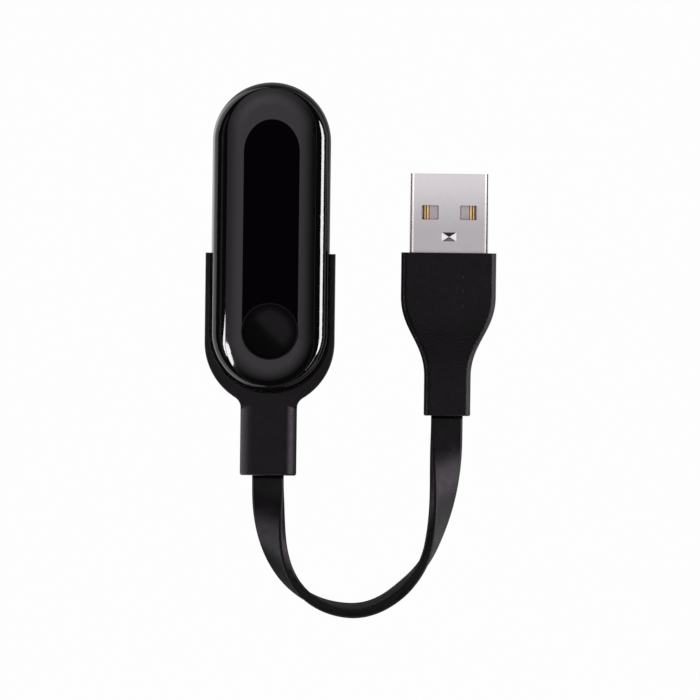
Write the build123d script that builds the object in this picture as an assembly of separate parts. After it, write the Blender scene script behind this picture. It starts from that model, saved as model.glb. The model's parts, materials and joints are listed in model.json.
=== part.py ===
from build123d import *
import math
import os

# Fitness tracker module in its charging cradle, with a short flat cable and a USB-A plug.
# Millimetres. X across the tracker, Y along it (towards the open end of the cradle), Z up.
# Origin: centre of the cradle and tracker, on the surface that they stand on.
os.makedirs("parts", exist_ok=True)

# ---- Driving dimensions: tracker module (the capsule) ----
CAPSULE_HALF_WIDTH = 8.95
CAPSULE_FOOT_Y = -17.2
CAPSULE_HEAD_Y = 29.7
CAPSULE_BOTTOM_Z = 3.2
CAPSULE_TOP_Z = 14.3
UNDERSIDE_ROUNDING = 2.0

GROOVE_LOW_Z = 7.6
GROOVE_HIGH_Z = 8.8
GROOVE_DEPTH = 0.7
PARTING_Z = 8.2
SIDE_DRAFT = 0.2
SHOULDER_START_Z = 11.9
SHOULDER_END_Z = 14.1
SHOULDER_TURN = 72.0
SHOULDER_SECTIONS = 7
PLATEAU_HALF_WIDTH = 6.74
PLATEAU_END_INSET = 0.85

LENS_HALF_WIDTH = 6.7
LENS_END_INSET = 0.89
LENS_BOTTOM_Z = 13.0
LENS_EDGE_Z = 14.1
LENS_CROWN_WIDTH = 2.4
LENS_SECTIONS = 5
LENS_GAP = 0.02
LEDGE_HALF_WIDTH = 5.6
LEDGE_TOP_Z = 12.9
LEDGE_BOTTOM_Z = 12.1

BUTTON_Y = -8.0
BUTTON_RADIUS = 4.35
BUTTON_DEPTH = 0.6

CAVITY_HALF_WIDTH = 7.4
CAVITY_FLOOR_Z = 4.2

GASKET_OUTER_HALF_WIDTH = 8.05
GASKET_INNER_HALF_WIDTH = 7.6
GASKET_LOW_Z = 8.0
GASKET_HIGH_Z = 8.4

DISPLAY_HALF_WIDTH = 4.4
DISPLAY_FOOT_Y = -3.4
DISPLAY_HEAD_Y = 24.4
DISPLAY_BOTTOM_Z = 11.7

BOARD_BOTTOM_Z = 9.2
BOARD_TOP_Z = 9.8
BOARD_HALF_WIDTH = 6.4
BOARD_FOOT_Y = -13.0
BOARD_HEAD_Y = 26.0

BATTERY_SIZE = (12.0, 23.6, 3.0)
BATTERY_CENTRE = (0.0, 10.0, 6.6)

SENSOR_Y = 6.25
SENSOR_SIZE = (8.0, 12.0)
SENSOR_BOTTOM_Z = 2.35

MOTOR_Y = -9.9
MOTOR_Z = 6.9
MOTOR_RADIUS = 1.95
MOTOR_SPAN_X = (-5.0, 0.8)
SHAFT_RADIUS = 0.4
WEIGHT_SPAN_X = (1.3, 4.4)
WEIGHT_RADIUS = 1.85

# ---- Driving dimensions: charging pins, shared by the tracker and the cradle ----
PIN_X = 2.54
PIN_Y = -5.2
PIN_CLEARANCE = 0.03
PIN_TRAVEL = 0.35
SPRING_LOW_Z = 1.36
SPRING_HIGH_Z = 1.94
SPRING_WIRE = 0.05
SPRING_RADIUS = 0.34
SPRING_PITCH = 0.16

# ---- Driving dimensions: cradle ----
CRADLE_HALF_WIDTH = 9.85
CRADLE_FOOT_Y = -19.55
CRADLE_ARM_Y = 3.8
CRADLE_WALL_Z = 9.2
POCKET_CLEARANCE = 0.10
FLOOR_TOP_Z = 2.0
FLOOR_UNDER_Z = 1.4
COVER_TOP_Z = 0.6
COVER_HALF_WIDTH = 7.6
LIP_HALF_WIDTH = 8.5
LIP_LOW_Z = 7.8
LIP_HIGH_Z = 8.6

NECK_HALF_WIDTH = 4.28
NECK_END_Y = -29.85
NECK_ROUNDING = 2.1
NECK_END_ROUNDING = 0.35
NECK_CORNER_RADIUS = 1.8
SHOULDER_STOP_Y = -20.0
SHOULDER_STOP_RUN = 0.7
FOOT_ROUNDING = 0.5
RIM_ROUNDING = 0.2
CHANNEL_HALF_WIDTH = 2.9
CHANNEL_TOP_Z = 4.9
NECK_WALL = 1.5

# ---- Driving dimensions: flat cable, 4.8 by 1.5 mm, and the plug ----
CABLE_WIDTH = 4.8
CABLE_EXIT_Z = 3.3
ARC_SHARE = 0.45
CABLE_ROUTE = [
    (0.0, NECK_END_Y, CABLE_EXIT_Z),
    (0.0, -37.3, CABLE_EXIT_Z),
    (2.7, -45.4, 2.8),
    (8.4, -49.9, 2.55),
    (16.3, -50.4, 2.55),
    (23.6, -44.2, 2.7),
    (26.1, -36.4, 3.3),
    (27.0, -28.0, 4.0),
    (27.0, -20.5, 4.0),
]

PLUG_X = 27.0
PLUG_Z = 4.0
PLUG_REAR_Y = -20.5
PLUG_FACE_Y = 4.2
PLUG_TIP_Y = 16.2
MOLD_HEAD_HALF_WIDTH = 7.2
MOLD_TAIL_HALF_WIDTH = 3.53
MOLD_HEAD_HALF_HEIGHT = 4.0
MOLD_TAIL_HALF_HEIGHT = 3.0
MOLD_ABOVE_CURVE_Y = (-2.4, -14.6)
MOLD_BESIDE_CURVE_Y = (-4.0, -15.0)
MOLD_ROUNDING = 1.0
MOLD_REAR_ROUNDING = 0.25

SHELL_WIDTH = 12.0
SHELL_HEIGHT = 4.5
SHELL_WALL = 0.3
SHELL_REAR_Y = -6.0
SHELL_CORNER = 0.7
WINDOW_SIZE = (2.6, 2.2)
WINDOW_CORNER = 0.25
WINDOW_X = 2.91
WINDOW_FROM_TIP = 5.9
DIMPLE_SIZE = (2.2, 1.35)
DIMPLE_FROM_TIP = 9.58
DIMPLE_DEPTH = 0.32
DIMPLE_FLOOR = (0.3, 0.1)
SEAM_WIDTH = 0.08
TONGUE_TOP_Z = 3.9
TONGUE_ROOT_Y = 5.2
CONTACT_X = (-3.5, -1.0, 1.0, 3.5)
CONTACT_WIDTH = 1.0
CONTACT_THICKNESS = 0.5
CONTACT_PROUD = 0.12
CONTACT_TAIL = 2.0
CONTACT_GAP = 0.3
CONTACT_GAP_DEPTH = 0.6
INNER_MOLD_HALF_HEIGHT = 1.6
INNER_MOLD_HALF_WIDTH = 3.0
INNER_MOLD_HEAD_HALF_WIDTH = 4.4
INNER_MOLD_HEAD_Y = -9.2
INNER_MOLD_REAR_Y = -16.5
GRIP_BAR_Y = (0.6, -1.6, -3.8)
GRIP_BAR_SIZE = (4.6, 0.9)
GRIP_BAR_HEIGHT = 0.14

DEEP = 60.0


# ---- Helpers ----
def write(shape, node):
    """Write one sub-part as its own STEP file."""
    shape.label = node
    export_step(shape, f"parts/{node}.step")


def stadium(half_width, foot_y, head_y):
    """A flat outline along Y with two straight sides and two round ends."""
    middle = Location((0, (foot_y + head_y) / 2, 0))
    outline = SlotOverall(head_y - foot_y, 2 * half_width, rotation=90)
    return middle * outline


def prism(outline, low_z, high_z):
    """The outline raised from low_z to high_z."""
    return extrude(Plane.XY.offset(low_z) * outline, amount=high_z - low_z)


def stadium_block(half_width, foot_y, head_y, low_z, high_z):
    return prism(stadium(half_width, foot_y, head_y), low_z, high_z)


def inset_stadium(half_width, low_z, high_z):
    """A block with the tracker's outline moved in evenly to half_width."""
    inset = CAPSULE_HALF_WIDTH - half_width
    return stadium_block(half_width, CAPSULE_FOOT_Y + inset, CAPSULE_HEAD_Y - inset, low_z, high_z)


def box(low, high):
    """A box between two opposite corners."""
    size = [b - a for a, b in zip(low, high)]
    middle = [(a + b) / 2 for a, b in zip(low, high)]
    return Location(middle) * Box(*size)


def rod(start, direction, length, radius):
    """A round bar that starts at a point and runs along a direction."""
    return extrude(Plane(origin=start, z_dir=direction) * Circle(radius), amount=length)


def pin_places():
    return [(-PIN_X, PIN_Y), (PIN_X, PIN_Y)]


def swept_round(path, radius):
    """A round wire along a path."""
    return sweep(Plane(origin=path @ 0, z_dir=path % 0) * Circle(radius), path=path)


# ---- Tracker: casings, lens and seals ----
def capsule_section(side_inset, end_inset, height):
    """The tracker's outline at a height, moved in by one amount at its sides and another at its ends."""
    foot = CAPSULE_FOOT_Y + end_inset
    head = CAPSULE_HEAD_Y - end_inset
    return Plane.XY.offset(height) * stadium(CAPSULE_HALF_WIDTH - side_inset, foot, head)


def capsule_shoulder():
    """The crowned top of the tracker: a lightly drafted wall, then a round shoulder up to the lens."""
    wall = loft([
        capsule_section(0, 0, GROOVE_HIGH_Z),
        capsule_section(SIDE_DRAFT, SIDE_DRAFT, SHOULDER_START_Z),
    ])
    end_turn = math.radians(SHOULDER_TURN)
    side_run = CAPSULE_HALF_WIDTH - PLATEAU_HALF_WIDTH - SIDE_DRAFT
    end_run = PLATEAU_END_INSET - SIDE_DRAFT
    rise = SHOULDER_END_Z - SHOULDER_START_Z
    sections = []
    for step in range(SHOULDER_SECTIONS):
        turn = end_turn * step / (SHOULDER_SECTIONS - 1)
        draw_in = (1 - math.cos(turn)) / (1 - math.cos(end_turn))
        height = SHOULDER_START_Z + rise * math.sin(turn) / math.sin(end_turn)
        side_inset = SIDE_DRAFT + side_run * draw_in
        end_inset = SIDE_DRAFT + end_run * draw_in
        sections.append(capsule_section(side_inset, end_inset, height))
    return wall + loft(sections)


def gasket_ring():
    outer = inset_stadium(GASKET_OUTER_HALF_WIDTH, GASKET_LOW_Z, GASKET_HIGH_Z)
    return outer - inset_stadium(GASKET_INNER_HALF_WIDTH, GASKET_LOW_Z, GASKET_HIGH_Z)


def make_upper_housing():
    groove_wall = CAPSULE_HALF_WIDTH - GROOVE_DEPTH
    body = capsule_shoulder()
    body += inset_stadium(groove_wall, PARTING_Z, GROOVE_HIGH_Z)
    body -= inset_stadium(CAVITY_HALF_WIDTH, PARTING_Z, LEDGE_BOTTOM_Z)
    body -= inset_stadium(LEDGE_HALF_WIDTH, LEDGE_BOTTOM_Z, LEDGE_TOP_Z)
    body -= lens_outline_block(LEDGE_TOP_Z, CAPSULE_TOP_Z + 1)
    return body - gasket_ring()


def lens_outline_block(low_z, high_z, inset=0.0):
    foot = CAPSULE_FOOT_Y + LENS_END_INSET + inset
    head = CAPSULE_HEAD_Y - LENS_END_INSET - inset
    return stadium_block(LENS_HALF_WIDTH - inset, foot, head, low_z, high_z)


def lens_crown():
    """The lens's rim zone, which curves down evenly all round from its flat middle."""
    sections = []
    for step in range(LENS_SECTIONS):
        share = step / (LENS_SECTIONS - 1)
        inset = LENS_GAP + LENS_CROWN_WIDTH * share
        height = CAPSULE_TOP_Z - (CAPSULE_TOP_Z - LENS_EDGE_Z) * (1 - share) ** 2
        foot = CAPSULE_FOOT_Y + LENS_END_INSET + inset
        head = CAPSULE_HEAD_Y - LENS_END_INSET - inset
        sections.append(Plane.XY.offset(height) * stadium(LENS_HALF_WIDTH - inset, foot, head))
    return loft(sections)


def make_front_lens():
    """The clear front, with the shallow round dish of the touch button in its face."""
    ball_radius = (BUTTON_RADIUS ** 2 + BUTTON_DEPTH ** 2) / (2 * BUTTON_DEPTH)
    ball_z = CAPSULE_TOP_Z - BUTTON_DEPTH + ball_radius
    lens = lens_outline_block(LENS_BOTTOM_Z, LENS_EDGE_Z, inset=LENS_GAP) + lens_crown()
    return lens - Location((0, BUTTON_Y, ball_z)) * Sphere(ball_radius)


def make_lens_adhesive():
    frame_width = 0.8
    outer = lens_outline_block(LEDGE_TOP_Z, LENS_BOTTOM_Z, inset=0.1)
    return outer - lens_outline_block(LEDGE_TOP_Z, LENS_BOTTOM_Z, inset=0.1 + frame_width)


def make_lower_housing():
    groove_wall = CAPSULE_HALF_WIDTH - GROOVE_DEPTH
    body = inset_stadium(CAPSULE_HALF_WIDTH, CAPSULE_BOTTOM_Z, GROOVE_LOW_Z)
    body = fillet(body.edges().group_by(Axis.Z)[0], UNDERSIDE_ROUNDING)
    body += inset_stadium(groove_wall, GROOVE_LOW_Z, PARTING_Z)
    body -= inset_stadium(CAVITY_HALF_WIDTH, CAVITY_FLOOR_Z, PARTING_Z)
    body -= sensor_window_block(0.0)
    body -= gasket_ring()
    for x, y in pin_places():
        body -= rod((x, y, 0), (0, 0, 1), CAVITY_FLOOR_Z + 0.1, 1.0)
    return body


# ---- Tracker: sensor on the underside ----
def sensor_window_block(inset):
    width = SENSOR_SIZE[0] - 2 * inset
    length = SENSOR_SIZE[1] - 2 * inset
    outline = Location((0, SENSOR_Y, 0)) * RectangleRounded(width, length, 2.5 - inset)
    return prism(outline, SENSOR_BOTTOM_Z + inset, CAVITY_FLOOR_Z)


def make_sensor_window():
    dome = sensor_window_block(0.0)
    dome = fillet(dome.edges().group_by(Axis.Z)[0], 0.6)
    return dome - sensor_window_block(0.75)


def make_sensor_board():
    return box((-4.6, -0.6, CAVITY_FLOOR_Z), (4.6, 13.1, 4.7))


def make_sensor_leds():
    group = []
    for y in (SENSOR_Y - 3.2, SENSOR_Y + 3.2):
        group.append(box((-0.8, y - 0.8, 3.5), (0.8, y + 0.8, CAVITY_FLOOR_Z)))
    return Compound(children=group)


def make_sensor_photodiode():
    return box((-1.5, SENSOR_Y - 1.5, 3.6), (1.5, SENSOR_Y + 1.5, CAVITY_FLOOR_Z))


# ---- Tracker: inner works ----
def make_display_panel():
    low = (-DISPLAY_HALF_WIDTH, DISPLAY_FOOT_Y, DISPLAY_BOTTOM_Z)
    high = (DISPLAY_HALF_WIDTH, DISPLAY_HEAD_Y, LENS_BOTTOM_Z)
    return fillet(box(low, high).edges().filter_by(Axis.Z), 0.4)


def make_touch_electrode():
    return rod((0, BUTTON_Y, LENS_BOTTOM_Z - 0.15), (0, 0, 1), 0.15, 4.0)


def make_display_flex():
    """A thin ribbon that turns back from under the display onto the board."""
    thickness = 0.12
    half_width = 2.6
    low_z = BOARD_TOP_Z
    high_z = DISPLAY_BOTTOM_Z
    outer = (high_z - low_z) / 2
    bend_y = DISPLAY_FOOT_Y - 0.2
    middle_z = (high_z + low_z) / 2
    plane = Plane(origin=(-half_width, 0, 0), x_dir=(0, 1, 0), z_dir=(1, 0, 0))
    ring = Location((bend_y, middle_z)) * (Circle(outer) - Circle(outer - thickness))
    ring -= Location((bend_y + outer, middle_z)) * Rectangle(2 * outer, 3 * outer)
    run_length = 2.0
    for z in (low_z + thickness / 2, high_z - thickness / 2):
        ring += Location((bend_y + run_length / 2, z)) * Rectangle(run_length, thickness)
    return extrude(plane * ring, amount=2 * half_width)


def make_main_board():
    return stadium_block(BOARD_HALF_WIDTH, BOARD_FOOT_Y, BOARD_HEAD_Y, BOARD_BOTTOM_Z, BOARD_TOP_Z)


def make_processor_chip():
    return box((-2.5, 5.0, BOARD_TOP_Z), (2.5, 10.0, BOARD_TOP_Z + 0.8))


def make_board_chips():
    places = [(-4.3, 7.0, 2.0, 3.0), (4.3, 7.0, 2.0, 3.0), (0.0, 2.6, 3.0, 2.0), (-3.6, 0.5, 2.0, 2.0)]
    group = []
    for x, y, width, length in places:
        low = (x - width / 2, y - length / 2, BOARD_TOP_Z)
        group.append(box(low, (x + width / 2, y + length / 2, BOARD_TOP_Z + 0.7)))
    return Compound(children=group)


def make_accelerometer_chip():
    return box((2.6, -0.6, BOARD_TOP_Z), (4.6, 1.4, BOARD_TOP_Z + 0.7))


def make_shield_can():
    wall = 0.15
    can = box((-4.5, 12.0, BOARD_TOP_Z), (4.5, 20.5, BOARD_TOP_Z + 1.3))
    can -= box((-4.5 + wall, 12.0 + wall, BOARD_TOP_Z), (4.5 - wall, 20.5 - wall, BOARD_TOP_Z + 1.3 - wall))
    return can


def make_radio_chip():
    return box((-2.0, 14.2, BOARD_TOP_Z), (2.0, 18.2, BOARD_TOP_Z + 0.8))


def make_inner_chassis():
    """A plastic frame that stands on the casing's floor and carries the board round the battery."""
    outer = inset_stadium(7.3, CAVITY_FLOOR_Z + 0.1, BOARD_BOTTOM_Z)
    inner = inset_stadium(6.35, CAVITY_FLOOR_Z + 0.1, BOARD_BOTTOM_Z)
    frame = outer - inner
    frame += box((-6.4, -3.0, 5.1), (6.4, -2.2, BOARD_BOTTOM_Z)) & outer
    return frame - box((-2.2, -3.1, 5.8), (2.2, -2.1, BOARD_BOTTOM_Z))


def make_battery_pouch():
    pouch = Location(BATTERY_CENTRE) * Box(*BATTERY_SIZE)
    return fillet(pouch.edges().filter_by(Axis.Y), 0.6)


def make_battery_leads():
    foot_y = BATTERY_CENTRE[1] - BATTERY_SIZE[1] / 2
    group = []
    for x in (-0.9, 0.9):
        corners = [(x, foot_y, 7.2), (x, foot_y - 1.6, 7.2), (x, foot_y - 1.6, BOARD_BOTTOM_Z)]
        group.append(swept_round(FilletPolyline(*corners, radius=0.6), 0.25))
    return Compound(children=group)


def make_antenna_strip():
    low_z = BOARD_TOP_Z
    high_z = LEDGE_BOTTOM_Z - 0.2
    ring = inset_stadium(7.3, low_z, high_z) - inset_stadium(7.1, low_z, high_z)
    return ring & box((-8, 21.5, low_z), (8, CAPSULE_HEAD_Y, high_z))


def make_charge_contacts():
    """Two gold pads, flush with the underside, with a flange inside the casing."""
    group = []
    for x, y in pin_places():
        pad = rod((x, y, CAPSULE_BOTTOM_Z), (0, 0, 1), CAVITY_FLOOR_Z - CAPSULE_BOTTOM_Z, 1.0)
        group.append(pad + rod((x, y, CAVITY_FLOOR_Z), (0, 0, 1), 0.3, 1.3))
    return Compound(children=group)


def make_contact_springs():
    """Two coil springs that join the charge contacts to the board."""
    group = []
    wire = 0.12
    low_z = CAVITY_FLOOR_Z + 0.3 + wire + 0.02
    height = BOARD_BOTTOM_Z - low_z - wire - 0.02
    for x, y in pin_places():
        coil = Helix(pitch=0.75, height=height, radius=0.6, center=(x, y, low_z))
        group.append(sweep(Plane(origin=coil @ 0, z_dir=coil % 0) * Circle(wire), path=coil))
    return Compound(children=group)


# ---- Tracker: vibration motor ----
def make_motor_can():
    length = MOTOR_SPAN_X[1] - MOTOR_SPAN_X[0]
    can = rod((MOTOR_SPAN_X[0], MOTOR_Y, MOTOR_Z), (1, 0, 0), length, MOTOR_RADIUS)
    bore_depth = 4.0
    can -= rod((MOTOR_SPAN_X[1] - bore_depth, MOTOR_Y, MOTOR_Z), (1, 0, 0), bore_depth, SHAFT_RADIUS + 0.05)
    return can


def make_motor_shaft():
    start_x = MOTOR_SPAN_X[1] - 3.8
    return rod((start_x, MOTOR_Y, MOTOR_Z), (1, 0, 0), WEIGHT_SPAN_X[1] + 0.2 - start_x, SHAFT_RADIUS)


def make_motor_weight():
    """A half-round weight: turning it shakes the tracker."""
    length = WEIGHT_SPAN_X[1] - WEIGHT_SPAN_X[0]
    start = (WEIGHT_SPAN_X[0], MOTOR_Y, MOTOR_Z)
    weight = rod(start, (1, 0, 0), length, WEIGHT_RADIUS)
    low = (WEIGHT_SPAN_X[0], MOTOR_Y - 3, MOTOR_Z + 0.75)
    weight -= box(low, (WEIGHT_SPAN_X[1], MOTOR_Y + 3, MOTOR_Z + 3))
    return weight - rod(start, (1, 0, 0), length, SHAFT_RADIUS)


# ---- Cradle ----
def cradle_outline():
    """The cradle's outline: a fork with straight arms, and a neck that joins it by concave corners."""
    fork = stadium(CRADLE_HALF_WIDTH, CRADLE_FOOT_Y, CRADLE_ARM_Y + DEEP)
    fork -= Location((0, CRADLE_ARM_Y + DEEP / 2)) * Rectangle(DEEP, DEEP)
    neck_length = CRADLE_FOOT_Y + 3 - NECK_END_Y
    neck = Location((0, NECK_END_Y + neck_length / 2)) * Rectangle(2 * NECK_HALF_WIDTH, neck_length)
    outline = fork + neck
    beside = [v for v in outline.vertices() if abs(abs(v.X) - NECK_HALF_WIDTH) < 0.01]
    joins = [v for v in beside if v.Y > NECK_END_Y + 1]
    return fillet(joins, NECK_CORNER_RADIUS)


def neck_edge_cutter(side):
    """What the round top edge of the neck leaves out, with a sloped stop at the fork."""
    low_z = CRADLE_WALL_Z - NECK_ROUNDING
    high_z = CRADLE_WALL_Z + 1
    stop_run = SHOULDER_STOP_RUN * (high_z - low_z) / NECK_ROUNDING
    corners = [
        (NECK_END_Y - 1, low_z),
        (SHOULDER_STOP_Y, low_z),
        (SHOULDER_STOP_Y + stop_run, high_z),
        (NECK_END_Y - 1, high_z),
    ]
    plane = Plane(origin=(0, 0, 0), x_dir=(0, 1, 0), z_dir=(1, 0, 0))
    profile = make_face(Polyline(*corners, close=True))
    middle_x = side * (NECK_HALF_WIDTH - NECK_ROUNDING)
    block = extrude(plane.offset(middle_x) * profile, amount=side * DEEP)
    return block - rod((middle_x, NECK_END_Y - 2, low_z), (0, 1, 0), DEEP, NECK_ROUNDING)


def pocket_stadium(half_width, low_z, high_z):
    """A block with the tracker's outline grown or shrunk to half_width, open past the arms."""
    inset = CAPSULE_HALF_WIDTH - half_width
    return stadium_block(half_width, CAPSULE_FOOT_Y + inset, CAPSULE_HEAD_Y + DEEP, low_z, high_z)


def cover_block(gap, low_z, high_z):
    """The opening in the cradle's underside, or with a gap the plate that closes it."""
    outline = stadium(COVER_HALF_WIDTH - gap, -17.3 + gap, 2.6 - gap)
    tail_low_y = NECK_END_Y + NECK_WALL + gap
    tail_length = -14.0 - tail_low_y
    tail = Rectangle(2 * (CHANNEL_HALF_WIDTH - gap), tail_length)
    outline += Location((0, tail_low_y + tail_length / 2)) * tail
    return prism(outline, low_z, high_z)


def pin_block():
    return box((-4.7, PIN_Y - 2.0, FLOOR_TOP_Z), (4.7, PIN_Y + 2.0, 2.9))


def make_cradle_body():
    """The cradle's outer form: rounded at the foot, at the rim and along the neck."""
    body = prism(cradle_outline(), 0, CRADLE_WALL_Z)
    body = fillet(body.edges().group_by(Axis.Z)[0], FOOT_ROUNDING)
    for side in (-1, 1):
        body -= neck_edge_cutter(side)
    body = fillet(body.edges().group_by(Axis.Y)[0], NECK_END_ROUNDING)
    body -= pocket_stadium(CAPSULE_HALF_WIDTH + POCKET_CLEARANCE, FLOOR_TOP_Z, CRADLE_WALL_Z)
    rim = [e for e in body.edges().group_by(Axis.Z)[-1] if e.center().Y > SHOULDER_STOP_Y]
    return fillet(rim, RIM_ROUNDING)


def make_cradle_shell():
    shell = make_cradle_body()
    shell += lip_rail()
    shell += pin_block()
    shell -= cover_block(0.0, -1, FLOOR_UNDER_Z)
    channel = (-CHANNEL_HALF_WIDTH, NECK_END_Y + NECK_WALL, -1)
    shell -= box(channel, (CHANNEL_HALF_WIDTH, -18.6, CHANNEL_TOP_Z))
    shell -= cable_slot(NECK_END_Y, NECK_WALL)
    for x, y in pin_places():
        shell -= rod((x, y, 0), (0, 0, 1), 4, 0.8)
    return shell


def lip_rail():
    """The rail along the inside of the fork that runs in the tracker's strap groove."""
    outer = pocket_stadium(CAPSULE_HALF_WIDTH + 0.4, LIP_LOW_Z, LIP_HIGH_Z)
    rail = outer - pocket_stadium(LIP_HALF_WIDTH, LIP_LOW_Z, LIP_HIGH_Z)
    return rail & box((-DEEP, -DEEP, LIP_LOW_Z), (DEEP, CRADLE_ARM_Y - 0.4, LIP_HIGH_Z))


def cable_slot(start_y, length):
    """The rounded slot through the neck's end wall that the cable comes out of."""
    plane = Plane(origin=(0, start_y, CABLE_EXIT_Z), x_dir=(-1, 0, 0), z_dir=(0, 1, 0))
    return extrude(plane * SlotOverall(5.6, 2.4), amount=length)


def make_base_cover():
    return cover_block(0.05, 0, COVER_TOP_Z)


def make_cable_grommet():
    """The rubber insert in the neck's mouth, with a flange inside that the cable can't pull out."""
    front = cable_slot(NECK_END_Y, NECK_WALL)
    back_y = NECK_END_Y + NECK_WALL
    low = (-CHANNEL_HALF_WIDTH, back_y, COVER_TOP_Z + 0.1)
    return front + box(low, (CHANNEL_HALF_WIDTH, back_y + 1.2, CHANNEL_TOP_Z))


def make_cradle_board():
    board = box((-5.4, -15.0, 0.65), (5.4, 0.0, 1.15))
    return board + box((-2.4, -21.6, 0.65), (2.4, -15.0, 1.15))


def make_cradle_wires():
    start_y = NECK_END_Y + NECK_WALL + 1.2
    group = []
    for x in (-1.5, -0.5, 0.5, 1.5):
        route = [(x, start_y, CABLE_EXIT_Z), (x, start_y + 2.0, CABLE_EXIT_Z)]
        route += [(x, start_y + 4.0, 1.41), (x, start_y + 6.2, 1.41)]
        group.append(swept_round(FilletPolyline(*route, radius=0.9), 0.25))
    return Compound(children=group)


def make_pin_barrels():
    group = []
    for x, y in pin_places():
        barrel = rod((x, y, 1.15), (0, 0, 1), 1.6, 0.75)
        barrel -= rod((x, y, 1.35), (0, 0, 1), 1.2, 0.5)
        barrel -= rod((x, y, 2.5), (0, 0, 1), 0.3, 0.4)
        group.append(barrel)
    return Compound(children=group)


def make_pin_plunger(x, y):
    tip_z = CAPSULE_BOTTOM_Z - PIN_CLEARANCE
    head = rod((x, y, 1.96), (0, 0, 1), 0.56, 0.44)
    tip = rod((x, y, 2.4), (0, 0, 1), tip_z - 2.4, 0.34)
    tip = fillet(tip.edges().group_by(Axis.Z)[-1], 0.2)
    return head + tip


def make_pin_spring(x, y):
    low_z = SPRING_LOW_Z + SPRING_WIRE
    coil_height = SPRING_HIGH_Z - SPRING_LOW_Z - 2 * SPRING_WIRE
    coil = Helix(pitch=SPRING_PITCH, height=coil_height, radius=SPRING_RADIUS, center=(x, y, low_z))
    return sweep(Plane(origin=coil @ 0, z_dir=coil % 0) * Circle(SPRING_WIRE), path=coil)


# ---- Cable ----
def fillet_radii(route):
    """One arc for each corner, as large as its two runs allow."""
    radii = []
    for before, corner, after in zip(route, route[1:], route[2:]):
        first = Vector(*corner) - Vector(*before)
        second = Vector(*after) - Vector(*corner)
        half_turn = math.radians(first.get_angle(second)) / 2
        radii.append(ARC_SHARE * min(first.length, second.length) / math.tan(half_turn))
    return radii


def make_flat_cable():
    """The cable's room as a plain tube as wide as the flat cable, which twists in it."""
    radii = fillet_radii(CABLE_ROUTE)
    path = FilletPolyline(*CABLE_ROUTE, radius=radii)
    tube = swept_round(path, CABLE_WIDTH / 2)
    expected = math.pi * (CABLE_WIDTH / 2) ** 2 * path.length
    print("cable arc radii", [round(r, 1) for r in radii])
    print("cable length", round(path.length, 2), "volume over expected", round(tube.volume / expected, 4))
    return tube


# ---- Plug ----
def mold_profile(head_half, tail_half, straight_y, tail_y):
    """Half outline from the face to the rear: straight, S-curve, straight."""
    line_one = Line((head_half, PLUG_FACE_Y), (head_half, straight_y))
    middle_y = (straight_y + tail_y) / 2
    curve = Spline(
        (head_half, straight_y),
        ((head_half + tail_half) / 2, middle_y),
        (tail_half, tail_y),
        tangents=[(0, -1), (0, -1)],
    )
    line_two = Line((tail_half, tail_y), (tail_half, PLUG_REAR_Y))
    return line_one + curve + line_two


def mold_outline(head_half, tail_half, straight_y, tail_y):
    right = mold_profile(head_half, tail_half, straight_y, tail_y)
    left = mirror(right, about=Plane.YZ)
    close = Line((head_half, PLUG_FACE_Y), (-head_half, PLUG_FACE_Y))
    close += Line((tail_half, PLUG_REAR_Y), (-tail_half, PLUG_REAR_Y))
    return make_face(right + left + close)


def plug_at(shape):
    return Location((PLUG_X, 0, PLUG_Z)) * shape


def make_mold_body():
    from_above = mold_outline(MOLD_HEAD_HALF_WIDTH, MOLD_TAIL_HALF_WIDTH, *MOLD_ABOVE_CURVE_Y)
    body = prism(from_above, -MOLD_HEAD_HALF_HEIGHT, MOLD_HEAD_HALF_HEIGHT)
    from_side = mold_outline(MOLD_HEAD_HALF_HEIGHT, MOLD_TAIL_HALF_HEIGHT, *MOLD_BESIDE_CURVE_Y)
    side_plane = Plane(origin=(DEEP / 2, 0, 0), x_dir=(0, 0, 1), z_dir=(-1, 0, 0))
    return body & extrude(side_plane * from_side, amount=DEEP)


def shell_outline(inset):
    return RectangleRounded(SHELL_WIDTH - 2 * inset, SHELL_HEIGHT - 2 * inset, SHELL_CORNER - inset)


def along_plug(outline, start_y, end_y):
    """A plug cross-section drawn in X and Z, run from start_y to end_y."""
    plane = Plane(origin=(0, start_y, 0), x_dir=(-1, 0, 0), z_dir=(0, 1, 0))
    return extrude(plane * outline, amount=end_y - start_y)


def make_plug_overmold():
    body = make_mold_body()
    lengthwise = [e for e in body.edges() if PLUG_REAR_Y + 0.01 < e.center().Y < PLUG_FACE_Y - 0.01]
    body = fillet(lengthwise, MOLD_ROUNDING)
    body = fillet(body.edges().group_by(Axis.Y)[0], MOLD_REAR_ROUNDING)
    body -= along_plug(shell_outline(0.0), SHELL_REAR_Y, PLUG_FACE_Y)
    body -= inner_mold_block()
    for y in GRIP_BAR_Y:
        body += grip_bar(y)
    return plug_at(body)


def grip_bar(y):
    """A low bar moulded on the flat top of the plug, for the fingertip."""
    outline = Location((0, y)) * SlotOverall(*GRIP_BAR_SIZE)
    top_z = MOLD_HEAD_HALF_HEIGHT + GRIP_BAR_HEIGHT
    bar = prism(outline, MOLD_HEAD_HALF_HEIGHT - 0.3, top_z)
    return fillet(bar.edges().group_by(Axis.Z)[-1], GRIP_BAR_HEIGHT * 0.8)


def inner_mold_block():
    half_height = INNER_MOLD_HALF_HEIGHT
    tail = box(
        (-INNER_MOLD_HALF_WIDTH, INNER_MOLD_REAR_Y, -half_height),
        (INNER_MOLD_HALF_WIDTH, SHELL_REAR_Y, half_height),
    )
    head = box(
        (-INNER_MOLD_HEAD_HALF_WIDTH, INNER_MOLD_HEAD_Y, -half_height),
        (INNER_MOLD_HEAD_HALF_WIDTH, SHELL_REAR_Y, half_height),
    )
    return tail + head


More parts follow.
